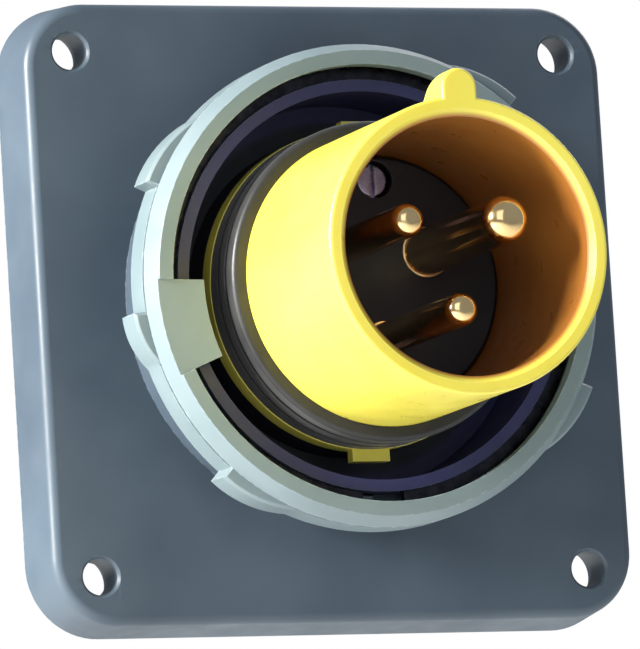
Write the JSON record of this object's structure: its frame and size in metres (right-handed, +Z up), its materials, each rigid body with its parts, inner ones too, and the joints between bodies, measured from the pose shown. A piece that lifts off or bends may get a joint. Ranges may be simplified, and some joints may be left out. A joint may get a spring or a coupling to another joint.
{
  "type": "watertight power inlet",
  "caption": "Flanged pin-and-sleeve power inlet with a keyed shroud round its pins and a bayonet locking ring.",
  "frame": {"origin": "on the inlet's axis, in the plane of the panel that the flange is screwed to", "axes": "+Z up to 12 o'clock where the key is, -Y out of the front along the inlet's axis, +X to the right seen from the front"},
  "size_m": [0.096, 0.0851, 0.096],
  "materials": {
    "housing_plastic": "satin moulded blue-grey plastic",
    "ring_plastic": "satin moulded light blue-grey plastic",
    "shroud_plastic": "semi-gloss yellow plastic",
    "carrier_plastic": "black moulded plastic",
    "black_rubber": "black rubber",
    "brass": "turned and polished",
    "screw_steel": "zinc plated",
    "spring_steel": "plain spring steel"
  },
  "bodies": {
    "housing": {"flange_housing": "housing_plastic", "panel_gasket": "black_rubber", "ring_snap_ring": "spring_steel", "shroud": "shroud_plastic", "face_seal": "black_rubber", "shroud_base_seal": "black_rubber", "pin_carrier": "carrier_plastic", "pin_seal_disc": "black_rubber", "carrier_screws": "screw_steel", "terminal_block": "carrier_plastic", "block_screws": "screw_steel", "line_pin": "brass", "line_terminal": "brass", "neutral_pin": "brass", "neutral_terminal": "brass", "ground_pin": "brass", "ground_terminal": "brass"},
    "locking_ring": {"locking_ring": "ring_plastic"},
    "line_clamp": {"line_terminal_screw": "screw_steel"},
    "neutral_clamp": {"neutral_terminal_screw": "screw_steel"},
    "ground_clamp": {"ground_terminal_screw": "screw_steel"}
  },
  "joints": [
    {"name": "locking_ring_turn", "type": "hinge", "parent": "housing", "child": "locking_ring", "pos_m": [0, 0, 0], "axis": [0, 1, 0], "range_deg": [0, 35]},
    {"name": "line_clamp_travel", "type": "slide", "parent": "housing", "child": "line_clamp", "axis": [0, 0, 1], "range_m": [0, 0.0025]},
    {"name": "neutral_clamp_travel", "type": "slide", "parent": "housing", "child": "neutral_clamp", "axis": [0.866, 0, -0.5], "range_m": [0, 0.0025]},
    {"name": "ground_clamp_travel", "type": "slide", "parent": "housing", "child": "ground_clamp", "axis": [-0.866, 0, -0.5], "range_m": [0, 0.0025]}
  ]
}
